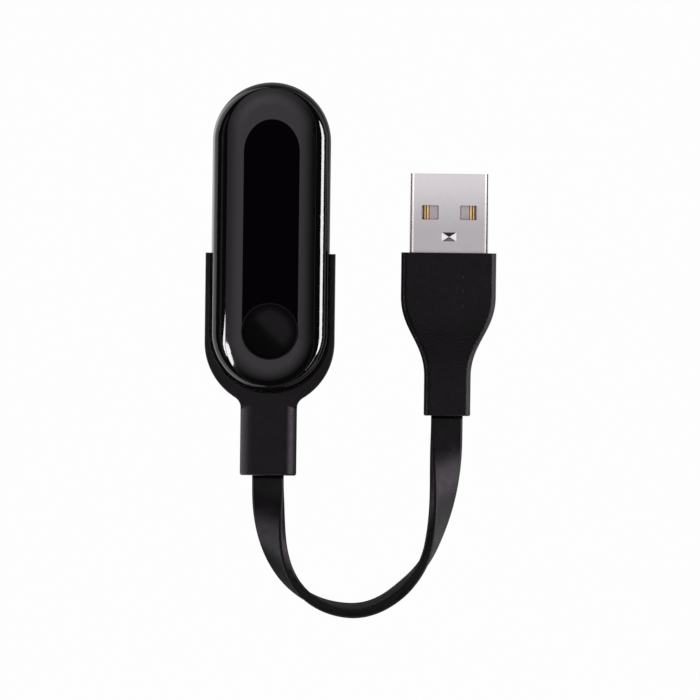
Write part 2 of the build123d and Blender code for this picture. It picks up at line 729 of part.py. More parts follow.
def dimple(width, length, top_z):
    """A four-sided dent with sloped faces that runs down from top_z."""
    middle = Location((0, PLUG_TIP_Y - DIMPLE_FROM_TIP, top_z))
    mouth = middle * Rectangle(width, length)
    floor = middle * Location((0, 0, -DIMPLE_DEPTH)) * Rectangle(*DIMPLE_FLOOR)
    return loft([mouth, floor])


def make_plug_shell():
    """The folded steel shell: two latch windows above and below, a pressed dimple, and a seam underneath."""
    shell = along_plug(shell_outline(0.0), SHELL_REAR_Y, PLUG_TIP_Y)
    shell -= along_plug(shell_outline(SHELL_WALL), SHELL_REAR_Y - 1, PLUG_TIP_Y + 1)
    window_y = PLUG_TIP_Y - WINDOW_FROM_TIP
    for side in (-1, 1):
        window = Location((side * WINDOW_X, window_y)) * RectangleRounded(*WINDOW_SIZE, WINDOW_CORNER)
        shell -= prism(window, -DEEP, DEEP)
    outer_z = SHELL_HEIGHT / 2
    shell += dimple(DIMPLE_SIZE[0] + 0.3, DIMPLE_SIZE[1] + 0.3, outer_z - SHELL_WALL)
    shell -= dimple(*DIMPLE_SIZE, outer_z)
    seam = (-SEAM_WIDTH / 2, SHELL_REAR_Y - 1, -outer_z - 1)
    shell -= box(seam, (SEAM_WIDTH / 2, PLUG_TIP_Y + 1, 0))
    return plug_at(shell)


def tongue_top():
    return TONGUE_TOP_Z - PLUG_Z


def make_plug_insulator():
    """The plastic tongue under the contacts, which lie in open slots, and the block behind it."""
    inside = along_plug(shell_outline(SHELL_WALL), SHELL_REAR_Y, PLUG_TIP_Y - 0.4)
    front = box((-DEEP, TONGUE_ROOT_Y, -DEEP), (DEEP, DEEP, tongue_top()))
    back = box((-DEEP, -DEEP, -DEEP), (DEEP, TONGUE_ROOT_Y, DEEP))
    block = (inside & front) + (inside & back)
    for x in CONTACT_X:
        block -= contact_slot(x)
        block -= contact_bar(x)
    return plug_at(block)


def contact_front(x):
    """The two outer contacts reach nearer the tip than the two inner ones."""
    outer = abs(x) > 2
    return PLUG_TIP_Y - (1.6 if outer else 2.6)


def contact_bar(x):
    """One contact, from inside the plug to near its tip, with a round top."""
    high_z = tongue_top() + CONTACT_PROUD
    low = (x - CONTACT_WIDTH / 2, SHELL_REAR_Y - CONTACT_TAIL, high_z - CONTACT_THICKNESS)
    bar = box(low, (x + CONTACT_WIDTH / 2, contact_front(x), high_z))
    return fillet(bar.edges().filter_by(Axis.Y).group_by(Axis.Z)[-1], 0.25)


def contact_slot(x):
    """The open slot in the tongue that leaves a gap on both sides of a contact."""
    half_width = CONTACT_WIDTH / 2 + CONTACT_GAP
    low_z = tongue_top() + CONTACT_PROUD - CONTACT_THICKNESS
    high = (x + half_width, contact_front(x) + CONTACT_GAP, tongue_top() + 1)
    front = box((x - half_width, TONGUE_ROOT_Y, low_z), high)
    side_low_z = tongue_top() - CONTACT_GAP_DEPTH
    for side in (-1, 1):
        middle_x = x + side * (CONTACT_WIDTH / 2 + CONTACT_GAP / 2)
        low = (middle_x - CONTACT_GAP / 2, TONGUE_ROOT_Y, side_low_z)
        front += box(low, (middle_x + CONTACT_GAP / 2, contact_front(x), tongue_top() + 1))
    return front


def make_plug_contacts():
    return plug_at(Compound(children=[contact_bar(x) for x in CONTACT_X]))


def make_plug_inner_mold():
    """The hard block cast round the soldered wires, between the shell and the cable."""
    block = inner_mold_block()
    for x in CONTACT_X:
        block -= contact_bar(x)
    for wire in plug_wire_bars():
        block -= wire
    return plug_at(block)


def plug_wire_bars():
    bars = []
    for x in (-1.5, -0.5, 0.5, 1.5):
        bars.append(rod((x, -16.5, 0), (0, 1, 0), 6.0, 0.25))
    return bars


def make_plug_wires():
    return plug_at(Compound(children=plug_wire_bars()))


# ---- Write every sub-part ----
def main():
    nodes = {
        "upper_housing": make_upper_housing(),
        "front_lens": make_front_lens(),
        "lens_adhesive": make_lens_adhesive(),
        "lower_housing": make_lower_housing(),
        "housing_gasket": gasket_ring(),
        "sensor_window": make_sensor_window(),
        "sensor_board": make_sensor_board(),
        "sensor_leds": make_sensor_leds(),
        "sensor_photodiode": make_sensor_photodiode(),
        "display_panel": make_display_panel(),
        "display_flex": make_display_flex(),
        "touch_electrode": make_touch_electrode(),
        "main_board": make_main_board(),
        "processor_chip": make_processor_chip(),
        "board_chips": make_board_chips(),
        "accelerometer_chip": make_accelerometer_chip(),
        "shield_can": make_shield_can(),
        "radio_chip": make_radio_chip(),
        "inner_chassis": make_inner_chassis(),
        "battery_pouch": make_battery_pouch(),
        "battery_leads": make_battery_leads(),
        "antenna_strip": make_antenna_strip(),
        "charge_contacts": make_charge_contacts(),
        "contact_springs": make_contact_springs(),
        "motor_can": make_motor_can(),
        "motor_shaft": make_motor_shaft(),
        "motor_weight": make_motor_weight(),
        "cradle_shell": make_cradle_shell(),
        "cradle_base_cover": make_base_cover(),
        "cable_grommet": make_cable_grommet(),
        "cradle_board": make_cradle_board(),
        "cradle_wires": make_cradle_wires(),
        "pin_barrels": make_pin_barrels(),
        "pin_plunger_left": make_pin_plunger(-PIN_X, PIN_Y),
        "pin_plunger_right": make_pin_plunger(PIN_X, PIN_Y),
        "pin_spring_left": make_pin_spring(-PIN_X, PIN_Y),
        "pin_spring_right": make_pin_spring(PIN_X, PIN_Y),
        "flat_cable": make_flat_cable(),
        "plug_overmold": make_plug_overmold(),
        "plug_shell": make_plug_shell(),
        "plug_insulator": make_plug_insulator(),
        "plug_contacts": make_plug_contacts(),
        "plug_inner_mold": make_plug_inner_mold(),
        "plug_wires": make_plug_wires(),
    }
    for node, shape in nodes.items():
        write(shape, node)
    print(len(nodes), "nodes written")


main()
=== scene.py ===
import json
import math

import bmesh
import bpy
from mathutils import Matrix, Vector


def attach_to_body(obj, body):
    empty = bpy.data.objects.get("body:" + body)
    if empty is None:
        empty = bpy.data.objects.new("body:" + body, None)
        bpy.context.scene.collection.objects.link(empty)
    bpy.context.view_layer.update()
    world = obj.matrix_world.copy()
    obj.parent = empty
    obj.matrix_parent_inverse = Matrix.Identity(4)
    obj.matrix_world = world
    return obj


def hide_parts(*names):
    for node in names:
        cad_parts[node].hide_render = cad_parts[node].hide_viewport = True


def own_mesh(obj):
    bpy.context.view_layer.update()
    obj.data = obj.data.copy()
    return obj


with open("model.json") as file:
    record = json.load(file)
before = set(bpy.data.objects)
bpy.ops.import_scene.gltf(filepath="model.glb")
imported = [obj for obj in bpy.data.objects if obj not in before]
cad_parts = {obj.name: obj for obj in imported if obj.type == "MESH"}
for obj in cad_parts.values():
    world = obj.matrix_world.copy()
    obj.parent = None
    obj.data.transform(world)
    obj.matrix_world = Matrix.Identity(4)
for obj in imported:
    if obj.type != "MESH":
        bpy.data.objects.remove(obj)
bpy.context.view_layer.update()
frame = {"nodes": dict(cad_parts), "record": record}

MM = 0.001


# ------------------------------------------------------------------ camera
PICTURE_WIDTH = 106.06 * MM
PICTURE_CENTRE = (12.2 * MM, -10.7 * MM)
CAMERA_HEIGHT = 0.6
CAMERA_ROLL = 0.0122
NEAREST_SEEN = 0.01
FARTHEST_SEEN = 10.0


def new_object(name, data):
    piece = bpy.data.objects.new(name, data)
    bpy.context.scene.collection.objects.link(piece)
    return piece


def make_camera():
    """A camera straight above, without perspective, turned a little on its own axis."""
    data = bpy.data.cameras.new("camera")
    data.type = "ORTHO"
    data.ortho_scale = PICTURE_WIDTH
    data.clip_start = NEAREST_SEEN
    data.clip_end = FARTHEST_SEEN
    camera = new_object("camera", data)
    camera.location = (*PICTURE_CENTRE, CAMERA_HEIGHT)
    camera.rotation_euler = (0, 0, CAMERA_ROLL)
    bpy.context.scene.camera = camera


# ------------------------------------------------------------------ mesh helpers
def bridge(mesh, first, second):
    """Faces between two rings of vertices with the same number of points."""
    count = len(first)
    for i in range(count):
        j = (i + 1) % count
        mesh.faces.new((first[i], first[j], second[j], second[i]))


def mesh_object(name, mesh, smooth=True):
    """A Blender object from a bmesh, with its faces turned outwards."""
    bmesh.ops.recalc_face_normals(mesh, faces=mesh.faces)
    data = bpy.data.meshes.new(name)
    mesh.to_mesh(data)
    mesh.free()
    for face in data.polygons:
        face.use_smooth = smooth
    return new_object(name, data)


def attach(piece, body, material):
    """The piece moves with the body, and takes its finish."""
    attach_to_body(piece, body)
    piece.data.materials.clear()
    piece.data.materials.append(material)
    return piece


# ------------------------------------------------------------------ cable
CABLE_WIDTH = 4.8 * MM
CABLE_THICKNESS = 1.5 * MM
CABLE_CORNER = 0.42 * MM
CORNER_STEPS = 6
# The route's points, as the CAD has them, in millimetres.
CABLE_ROUTE = [
    (0.0, -29.85, 3.3),
    (0.0, -37.3, 3.3),
    (2.7, -45.4, 2.8),
    (8.4, -49.9, 2.55),
    (16.3, -50.4, 2.55),
    (23.6, -44.2, 2.7),
    (26.1, -36.4, 3.3),
    (27.0, -28.0, 4.0),
    (27.0, -20.5, 4.0),
]
# The flat cable turns about its own line: face up at both ends, a little past on edge
# in the middle. The shares are of its length.
TWIST_PEAK = math.radians(103)
TWIST_START = 0.03
TWIST_FULL = 0.45
TWIST_EASE = 0.56
TWIST_END = 0.96
TWIST_SMOOTHING = 0.018
TWIST_SAMPLES_ASIDE = 4
CURVE_ORDER = 3
CURVE_STEPS = 24


def route_line(name, points):
    """The smooth line of a route, as points read from its NURBS spline."""
    curve = bpy.data.curves.new(name, "CURVE")
    curve.dimensions = "3D"
    spline = curve.splines.new("NURBS")
    spline.points.add(len(points) - 1)
    for control, point in zip(spline.points, points):
        control.co = (*[MM * value for value in point], 1.0)
    spline.order_u = CURVE_ORDER
    spline.use_endpoint_u = True
    curve.resolution_u = CURVE_STEPS
    holder = new_object(name, curve)
    drawn = bpy.data.meshes.new_from_object(holder)
    line = [vertex.co.copy() for vertex in drawn.vertices]
    bpy.data.meshes.remove(drawn)
    bpy.data.objects.remove(holder)
    bpy.data.curves.remove(curve)
    return line


def clamped(value):
    return min(max(value, 0.0), 1.0)


def raw_twist(share):
    """The twist at a share of the cable's length: it rises, stays and falls."""
    rise = clamped((share - TWIST_START) / (TWIST_FULL - TWIST_START))
    fall = clamped((TWIST_END - share) / (TWIST_END - TWIST_EASE))
    eased_rise = math.sin(rise * math.pi / 2)
    eased_fall = (fall + math.sin(fall * math.pi / 2)) / 2
    return TWIST_PEAK * min(eased_rise, eased_fall)


def twist_at(share):
    """The twist, evened out over a short stretch so that it starts and stops softly."""
    aside = TWIST_SAMPLES_ASIDE
    spots = [share + TWIST_SMOOTHING * step / aside for step in range(-aside, aside + 1)]
    return sum(raw_twist(spot) for spot in spots) / len(spots)


def rounded_section(width, height, radius):
    """Points round a rectangle with round corners, centred on 0, 0."""
    points = []
    for quarter in range(4):
        corner_x = (width / 2 - radius) * (1 if quarter in (0, 3) else -1)
        corner_y = (height / 2 - radius) * (1 if quarter in (0, 1) else -1)
        for step in range(CORNER_STEPS + 1):
            angle = math.pi / 2 * (quarter + step / CORNER_STEPS)
            points.append((corner_x + radius * math.cos(angle), corner_y + radius * math.sin(angle)))
    return points


def section_axes(line, i, twist):
    """The two directions of the cable's section at a point of its line: across its face, and out of it."""
    ahead = line[min(i + 1, len(line) - 1)] - line[max(i - 1, 0)]
    ahead.normalize()
    outward = ahead.cross(Vector((0, 0, 1))).normalized()
    upward = outward.cross(ahead)
    face_normal = math.cos(twist) * upward + math.sin(twist) * outward
    return ahead.cross(face_normal), face_normal


def make_flat_cable(material):
    """The flat sheath, swept along the route with its twist, from the neck to the plug."""
    line = route_line("cable_route", CABLE_ROUTE)
    lengths = [0.0]
    for before, after in zip(line, line[1:]):
        lengths.append(lengths[-1] + (after - before).length)
    section = rounded_section(CABLE_WIDTH, CABLE_THICKNESS, CABLE_CORNER)
    mesh = bmesh.new()
    rings = []
    for i, point in enumerate(line):
        across, face_normal = section_axes(line, i, twist_at(lengths[i] / lengths[-1]))
        rings.append([mesh.verts.new(point + across * x + face_normal * y) for x, y in section])
    for first, second in zip(rings, rings[1:]):
        bridge(mesh, first, second)
    mesh.faces.new(rings[0])
    mesh.faces.new(rings[-1])
    cable = mesh_object("flat_cable_sheath", mesh)
    attach(cable, "cradle", material)
    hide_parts("flat_cable")
    return cable


# ------------------------------------------------------------------ node helpers
EVEN = (1, 1, 1)


def add_node(tree, kind, **settings):
    node = tree.nodes.new(kind)
    for key, value in settings.items():
        setattr(node, key, value)
    return node


def feed(tree, socket, value):
    """A socket takes a number or colour, or follows another node's output."""
    if isinstance(value, bpy.types.NodeSocket):
        tree.links.new(value, socket)
    else:
        socket.default_value = value


def calc(tree, operation, *values, clamp=False):
    node = add_node(tree, "ShaderNodeMath", operation=operation, use_clamp=clamp)
    for socket, value in zip(node.inputs, values):
        feed(tree, socket, value)
    return node.outputs[0]


def object_place(tree):
    return add_node(tree, "ShaderNodeTexCoord").outputs["Object"]


def place_axes(tree):
    """The place on the object as separate outputs, X, Y and Z, in metres."""
    parts = add_node(tree, "ShaderNodeSeparateXYZ")
    feed(tree, parts.inputs[0], object_place(tree))
    return parts.outputs


def noise(tree, size_mm, stretch=EVEN, detail=3.0, offset=0.0):
    """Noise with blotches of about size_mm, longer along an axis with a stretch over 1."""
    mapping = add_node(tree, "ShaderNodeMapping")
    feed(tree, mapping.inputs["Vector"], object_place(tree))
    mapping.inputs["Location"].default_value = (offset, offset, offset)
    mapping.inputs["Scale"].default_value = [1 / (size_mm * MM * along) for along in stretch]
    texture = add_node(tree, "ShaderNodeTexNoise")
    texture.inputs["Scale"].default_value = 1.0
    texture.inputs["Detail"].default_value = detail
    feed(tree, texture.inputs["Vector"], mapping.outputs[0])
    return texture.outputs["Fac"]


def spread(tree, value, low, high, start=0.3, end=0.7, kind="LINEAR"):
    """A value from start to end, which is where noise mostly lies, told as low to high."""
    node = add_node(tree, "ShaderNodeMapRange", interpolation_type=kind)
    feed(tree, node.inputs["Value"], value)
    node.inputs["From Min"].default_value = start
    node.inputs["From Max"].default_value = end
    node.inputs["To Min"].default_value = low
    node.inputs["To Max"].default_value = high
    return node.outputs["Result"]


def mix_colour(tree, share, first, second):
    """From the first colour to the second. A Mix node's colour sockets are known only by number."""
    node = add_node(tree, "ShaderNodeMix", data_type="RGBA")
    feed(tree, node.inputs[0], share)
    for socket, colour in ((node.inputs[6], first), (node.inputs[7], second)):
        feed(tree, socket, (*colour, 1.0) if isinstance(colour, tuple) else colour)
    return node.outputs[2]


def dimmed(tree, colour, painted_shade_level):
    """A colour times a grey level."""
    node = add_node(tree, "ShaderNodeVectorMath", operation="SCALE")
    feed(tree, node.inputs[0], colour)
    feed(tree, node.inputs["Scale"], painted_shade_level)
    return node.outputs[0]


def bump(tree, height, depth_mm):
    node = add_node(tree, "ShaderNodeBump")
    node.inputs["Strength"].default_value = 1.0
    node.inputs["Distance"].default_value = depth_mm * MM
    feed(tree, node.inputs["Height"], height)
    return node.outputs["Normal"]


def new_material(name, **constants):
    """A material, its node tree and its shader, with constants by socket name."""
    material = bpy.data.materials.new(name)
    material.use_nodes = True
    tree = material.node_tree
    shader = tree.nodes["Principled BSDF"]
    for socket, value in constants.items():
        shader.inputs[socket.replace("_", " ")].default_value = value
    return material, tree, shader


def scaled(colour, factor):
    return tuple(channel * factor for channel in colour)


# ------------------------------------------------------------------ materials
# Places and sizes with no unit of their own here are the CAD's, in millimetres.
LENS_EDGE_HALF_WIDTH = 6.7
LENS_EDGE_FOOT = -9.61
LENS_EDGE_HEAD = 22.11
WINDOW_HALF_WIDTH = 4.24
WINDOW_HEAD_Y = 19.13
WINDOW_ARCH = 5.0
DISH_Y = -8.0
DISH_RADIUS = 4.35
DISH_DEPTH = 0.6
LENS_TOP_Z = 14.3
LENS_TONE_AT_WINDOW = (0.012, 0.0095, 0.012)
LENS_TONE_AT_EDGE = (0.004, 0.003, 0.004)
PLUG_X = 27.0
CONTACT_X = (1.0, 3.5)
# A line of painted shade down each contact, standing in for its stamped groove.
GROOVE_HALF_WIDTH = 0.1
GROOVE_PAINTED_SHADE = (0.12, 0.07, 0.03)
WORN_GOLD = (0.86, 0.55, 0.2)
BRIGHT_GOLD = (0.97, 0.72, 0.38)
# Painted shade on the plug's shell: strongest at the first place along Y, gone by the second.
SHELL_SHADE_DEEPEST_Y = 7.0
SHELL_SHADE_GONE_Y = 16.2
SHELL_PAINTED_SHADE_LEVEL = 0.66
SHELL_DARKER = (0.86, 0.82, 0.845)
SHELL_LIGHTER = (0.9, 0.875, 0.89)
DRAWN_ALONG_Y = (1, 14, 1)


def plastic(name, colour, roughness, grain_mm=0.15, relief_mm=0.004, mottle=0.25, uneven=0.2,
            stretch=EVEN, **constants):
    """A moulded plastic or rubber: mottled colour, uneven gloss and a fine grain."""
    material, tree, shader = new_material(name, **constants)
    blotch = noise(tree, 3.0, stretch=stretch, detail=4.0)
    share = spread(tree, blotch, 0.0, 1.0)
    colours = mix_colour(tree, share, scaled(colour, 1 - mottle), scaled(colour, 1 + mottle))
    feed(tree, shader.inputs["Base Color"], colours)
    patch = noise(tree, 1.1, stretch=stretch, offset=3.1)
    gloss = spread(tree, patch, roughness * (1 - uneven), roughness * (1 + uneven))
    feed(tree, shader.inputs["Roughness"], gloss)
    grain = noise(tree, grain_mm, stretch=stretch, detail=2.0)
    feed(tree, shader.inputs["Normal"], bump(tree, grain, relief_mm))
    return material


def metal(name, colour, roughness, brush_mm=0.05, stretch=DRAWN_ALONG_Y, relief_mm=0.0008):
    """A metal with fine drawn lines along one axis."""
    return plastic(name, colour, roughness, grain_mm=brush_mm, relief_mm=relief_mm, mottle=0.08,
                   uneven=0.25, stretch=stretch, Metallic=1.0)


def contact_gold():
    """Gold plating, with a line of painted shade down the middle of each contact where a stamped groove would
    be; the groove isn't modelled.
    """
    material, tree, shader = new_material("gold", Metallic=1.0)
    from_axis = calc(tree, "SUBTRACT", calc(tree, "DIVIDE", place_axes(tree)["X"], MM), PLUG_X)
    aside = calc(tree, "ABSOLUTE", from_axis)
    inner = calc(tree, "ABSOLUTE", calc(tree, "SUBTRACT", aside, CONTACT_X[0]))
    outer = calc(tree, "ABSOLUTE", calc(tree, "SUBTRACT", aside, CONTACT_X[1]))
    off_middle = calc(tree, "MINIMUM", inner, outer)
    # The painted groove shade's mask: 0 down the middle of each contact.
    plate = spread(tree, off_middle, 0.0, 1.0, start=GROOVE_HALF_WIDTH * 0.7, end=GROOVE_HALF_WIDTH * 1.3)
    worn = spread(tree, noise(tree, 0.4), 0.0, 1.0)
    plating = mix_colour(tree, worn, WORN_GOLD, BRIGHT_GOLD)
    feed(tree, shader.inputs["Base Color"], mix_colour(tree, plate, GROOVE_PAINTED_SHADE, plating))
    feed(tree, shader.inputs["Roughness"], spread(tree, noise(tree, 0.25), 0.16, 0.3))
    return material


def shell_steel():
    """Plated steel, drawn along the plug, with painted shade that darkens it towards the overmould."""
    material, tree, shader = new_material("plug_steel", Metallic=1.0)
    # Painted shade: the steel's colour falls towards the overmould.
    painted_shade_level = spread(tree, place_axes(tree)["Y"], SHELL_PAINTED_SHADE_LEVEL, 1.0, start=SHELL_SHADE_DEEPEST_Y * MM,
                   end=SHELL_SHADE_GONE_Y * MM, kind="SMOOTHSTEP")
    tone = mix_colour(tree, noise(tree, 2.5), SHELL_DARKER, SHELL_LIGHTER)
    feed(tree, shader.inputs["Base Color"], dimmed(tree, tone, painted_shade_level))
    gloss = spread(tree, noise(tree, 0.08, stretch=DRAWN_ALONG_Y), 0.22, 0.27)
    feed(tree, shader.inputs["Roughness"], gloss)
    lines = noise(tree, 0.03, stretch=DRAWN_ALONG_Y, detail=2.0)
    feed(tree, shader.inputs["Normal"], bump(tree, lines, 0.0003))
    return material


def gloss_black(name, colour, roughness):
    """Polished injection moulding: nearly even, with a faint waviness and dust-fine marks."""
    return plastic(name, colour, roughness, grain_mm=2.5, relief_mm=0.0006, mottle=0.15, uneven=0.35)


def beyond(tree, value, low, high, high_scale=1.0):
    """How far a value is outside low to high, as a positive number, or 0 inside."""
    under = calc(tree, "MAXIMUM", calc(tree, "SUBTRACT", low, value), 0.0)
    over = calc(tree, "MAXIMUM", calc(tree, "SUBTRACT", value, high), 0.0)
    return calc(tree, "ADD", under, calc(tree, "MULTIPLY", over, high_scale))


def reach(tree, x, y):
    """The length of the vector (x, y)."""
    squares = calc(tree, "ADD", calc(tree, "MULTIPLY", x, x), calc(tree, "MULTIPLY", y, y))
    return calc(tree, "SQRT", squares)


def lens_material():
    """Glass over black, whose colour is lighter at the display's outline and darker towards the lens's edge.
    """
    material, tree, shader = new_material("front_lens_fade", Roughness=0.05, IOR=1.5)
    axes = place_axes(tree)
    x = calc(tree, "DIVIDE", axes["X"], MM)
    y = calc(tree, "DIVIDE", axes["Y"], MM)
    window_y = beyond(tree, y, DISH_Y, WINDOW_HEAD_Y, WINDOW_HALF_WIDTH / WINDOW_ARCH)
    from_window = calc(tree, "SUBTRACT", reach(tree, x, window_y), WINDOW_HALF_WIDTH)
    from_window = calc(tree, "MAXIMUM", from_window, 0.0)
    edge_y = beyond(tree, y, LENS_EDGE_FOOT, LENS_EDGE_HEAD)
    from_edge = calc(tree, "SUBTRACT", LENS_EDGE_HALF_WIDTH, reach(tree, x, edge_y))
    from_edge = calc(tree, "MAXIMUM", from_edge, 0.001)
    share = calc(tree, "DIVIDE", from_window, calc(tree, "ADD", from_window, from_edge))
    haze = spread(tree, noise(tree, 1.5, detail=4.0), -0.06, 0.06)
    share = calc(tree, "ADD", share, haze, clamp=True)
    # Lighter next to the display's outline, darker towards the lens's edge.
    feed(tree, shader.inputs["Base Color"], mix_colour(tree, share, LENS_TONE_AT_WINDOW, LENS_TONE_AT_EDGE))
    gloss = spread(tree, noise(tree, 2.0, offset=5.0), 0.035, 0.07)
    feed(tree, shader.inputs["Roughness"], gloss)
    return material


def build_materials():
    """One material for each of the record's slots."""
    return {
        "housing_gloss": gloss_black("housing_gloss", (0.0035, 0.003, 0.0035), 0.045),
        "front_lens": lens_material(),
        "display_black": gloss_black("display_black", (0.003, 0.003, 0.004), 0.1),
        "adhesive": plastic("adhesive", (0.03, 0.03, 0.03), 0.7),
        "seal_rubber": plastic("seal_rubber", (0.006, 0.006, 0.0066), 0.6, grain_mm=0.1),
        "sensor_window": gloss_black("sensor_window", (0.012, 0.014, 0.016), 0.05),
        "board_green": plastic("board_green", (0.012, 0.085, 0.035), 0.35, grain_mm=0.4, relief_mm=0.006),
        "chip_black": plastic("chip_black", (0.02, 0.02, 0.022), 0.5, grain_mm=0.06, relief_mm=0.002),
        "led_green": plastic("led_green", (0.2, 0.75, 0.3), 0.25),
        "shield_steel": metal("shield_steel", (0.62, 0.62, 0.63), 0.3),
        "weight_metal": metal("weight_metal", (0.33, 0.33, 0.34), 0.4, stretch=EVEN),
        "gold": contact_gold(),
        "spring_steel": metal("spring_steel", (0.7, 0.7, 0.71), 0.25),
        "battery_foil": metal("battery_foil", (0.66, 0.67, 0.69), 0.32, brush_mm=0.6, stretch=EVEN,
                              relief_mm=0.01),
        "flex_amber": plastic("flex_amber", (0.5, 0.2, 0.03), 0.3),
        "wire_red": plastic("wire_red", (0.42, 0.02, 0.015), 0.4),
        "chassis_grey": plastic("chassis_grey", (0.16, 0.16, 0.17), 0.5),
        "cradle_plastic": plastic("cradle_plastic", (0.024, 0.018, 0.024), 0.4, grain_mm=0.14),
        "cable_rubber": plastic("cable_rubber", (0.012, 0.009, 0.012), 0.38, grain_mm=0.12, relief_mm=0.002),
        "overmold": plastic("overmold", (0.02, 0.0145, 0.02), 0.33, grain_mm=0.3, relief_mm=0.05, mottle=0.4),
        "plug_steel": shell_steel(),
        "insulator": plastic("insulator", (0.82, 0.72, 0.78), 0.5, mottle=0.05),
        "inner_mold": plastic("inner_mold", (0.6, 0.56, 0.48), 0.5),
    }


def paint_nodes(materials):
    """Each CAD node takes its slot's material."""
    for part in frame["record"]["subparts"]:
        piece = frame["nodes"][part["node"]]
        piece.data.materials.clear()
        piece.data.materials.append(materials[part["material_slot"]])


# ------------------------------------------------------------------ the face of the tracker
WINDOW_PROUD = 0.012
WINDOW_DARKER = (0.018, 0.0095, 0.018)
WINDOW_LIGHTER = (0.026, 0.015, 0.026)
ARC_STEPS = 48
DISH_LIFT = 0.016
DISH_RINGS = 24
DISH_STEPS = 96
DISH_SHADE = (0.012, 0.008, 0.012)
DISH_LIGHT = (0.02, 0.014, 0.02)


def window_outline():
    """The display window: straight sides, a half-ellipse head, and the dish's circle at its foot."""
    foot_y = DISH_Y + math.sqrt(DISH_RADIUS ** 2 - WINDOW_HALF_WIDTH ** 2)
    points = []
    for step in range(ARC_STEPS + 1):
        angle = math.pi * step / ARC_STEPS
        points.append((WINDOW_HALF_WIDTH * math.cos(angle), WINDOW_HEAD_Y + WINDOW_ARCH * math.sin(angle)))
    start = math.atan2(foot_y - DISH_Y, -WINDOW_HALF_WIDTH)
    end = math.atan2(foot_y - DISH_Y, WINDOW_HALF_WIDTH)
    for step in range(ARC_STEPS + 1):
        angle = start + (end - start) * step / ARC_STEPS
        points.append((DISH_RADIUS * math.cos(angle), DISH_Y + DISH_RADIUS * math.sin(angle)))
    return points


def make_display_window():
    """A thin dark pane on the lens, over the display."""
    mesh = bmesh.new()
    outline = window_outline()
    low = [mesh.verts.new((MM * x, MM * y, MM * (LENS_TOP_Z - WINDOW_PROUD))) for x, y in outline]
    high = [mesh.verts.new((MM * x, MM * y, MM * (LENS_TOP_Z + WINDOW_PROUD))) for x, y in outline]
    bridge(mesh, low, high)
    mesh.faces.new(high)
    mesh.faces.new(low)
    pane = mesh_object("display_window", mesh, smooth=False)
    dark, tree, shader = new_material("display_window", Specular_IOR_Level=0.0, Roughness=0.5)
    faint = spread(tree, noise(tree, 0.35), 0.0, 1.0)
    feed(tree, shader.inputs["Base Color"], mix_colour(tree, faint, WINDOW_DARKER, WINDOW_LIGHTER))
    return attach(pane, "capsule", dark)


def dish_ring(mesh, radius, z):
    """A ring of vertices round the dish's axis. The radius and height are in millimetres."""
    ring = []
    for step in range(DISH_STEPS):
        angle = 2 * math.pi * step / DISH_STEPS
        x = radius * math.cos(angle)
        y = DISH_Y + radius * math.sin(angle)
        ring.append(mesh.verts.new((MM * x, MM * y, MM * z)))
    return ring


def make_touch_dish():
    """A smooth cap that lines the round dish of the touch button."""
    ball = (DISH_RADIUS ** 2 + DISH_DEPTH ** 2) / (2 * DISH_DEPTH)
    centre_z = LENS_TOP_Z - DISH_DEPTH + ball
    mesh = bmesh.new()
    rings = []
    for count in range(1, DISH_RINGS + 1):
        radius = DISH_RADIUS * count / DISH_RINGS
        rings.append(dish_ring(mesh, radius, centre_z - math.sqrt(ball ** 2 - radius ** 2) + DISH_LIFT))
    for first, second in zip(rings, rings[1:]):
        bridge(mesh, first, second)
    mesh.faces.new(rings[0])
    under = [mesh.verts.new(vertex.co - Vector((0, 0, 2 * DISH_LIFT * MM))) for vertex in rings[-1]]
    bridge(mesh, rings[-1], under)
    low_centre = mesh.verts.new((0, MM * DISH_Y, MM * (LENS_TOP_Z - DISH_DEPTH - DISH_LIFT)))
    for i in range(DISH_STEPS):
        mesh.faces.new((under[(i + 1) % DISH_STEPS], under[i], low_centre))
    cap = mesh_object("touch_dish", mesh)
    soft, tree, shader = new_material("touch_dish", Roughness=0.3)
    blotch = spread(tree, noise(tree, 1.2, detail=3.0), 0.0, 1.0)
    feed(tree, shader.inputs["Base Color"], mix_colour(tree, blotch, DISH_SHADE, DISH_LIGHT))
    return attach(cap, "capsule", soft)


def make_pin_springs(materials):
    """A copy of each charging pin's spring, with a mesh of its own, moves with the cradle in place of the
    CAD's.
    """
    for side in ("left", "right"):
        node = "pin_spring_" + side
        spring = new_object("press_spring_" + side, frame["nodes"][node].data.copy())
        attach(spring, "cradle", materials["spring_steel"])
        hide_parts(node)
        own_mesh(spring)


# ------------------------------------------------------------------ stage
FLOOR_SIZE = 0.56
FLOOR_Z = -0.05 * MM
FLOOR_GLOW = 0.985
TABLE_Z = 2 * FLOOR_Z
# What reflections see of the table: white on the tracker's left, dim on its right.
DIM_GLOW = 0.12
BRIGHT_GLOW = 1.0
BRIGHT_TO_X = -14.0
DIM_FROM_X = -6.0
RIGHT_GLOW = 0.5
DIM_TO_X = 22.0
RIGHT_FROM_X = 34.0
STAGE_BLACK = (0.01, 0.01, 0.01)
STAGE_NEAR_BLACK = (0.011, 0.011, 0.011)
STUDIO_GLOW = 0.05


def stage_sheet(name, z):
    """A level sheet that only glows, with a material of its own: the sheet, its node tree, its shader."""
    mesh = bmesh.new()
    bmesh.ops.create_grid(mesh, x_segments=1, y_segments=1, size=FLOOR_SIZE / 2)
    bmesh.ops.translate(mesh, verts=mesh.verts, vec=(*PICTURE_CENTRE, z))
    sheet = mesh_object(name, mesh, smooth=False)
    white, tree, shader = new_material(name + "_white", Emission_Color=(1.0, 1.0, 1.0, 1.0), Roughness=1.0,
                                       Specular_IOR_Level=0.0)
    tone = spread(tree, noise(tree, 40.0), 0.0, 1.0)
    feed(tree, shader.inputs["Base Color"], mix_colour(tree, tone, STAGE_BLACK, STAGE_NEAR_BLACK))
    sheet.data.materials.append(white)
    sheet.visible_diffuse = False
    sheet.visible_shadow = False
    return sheet, tree, shader


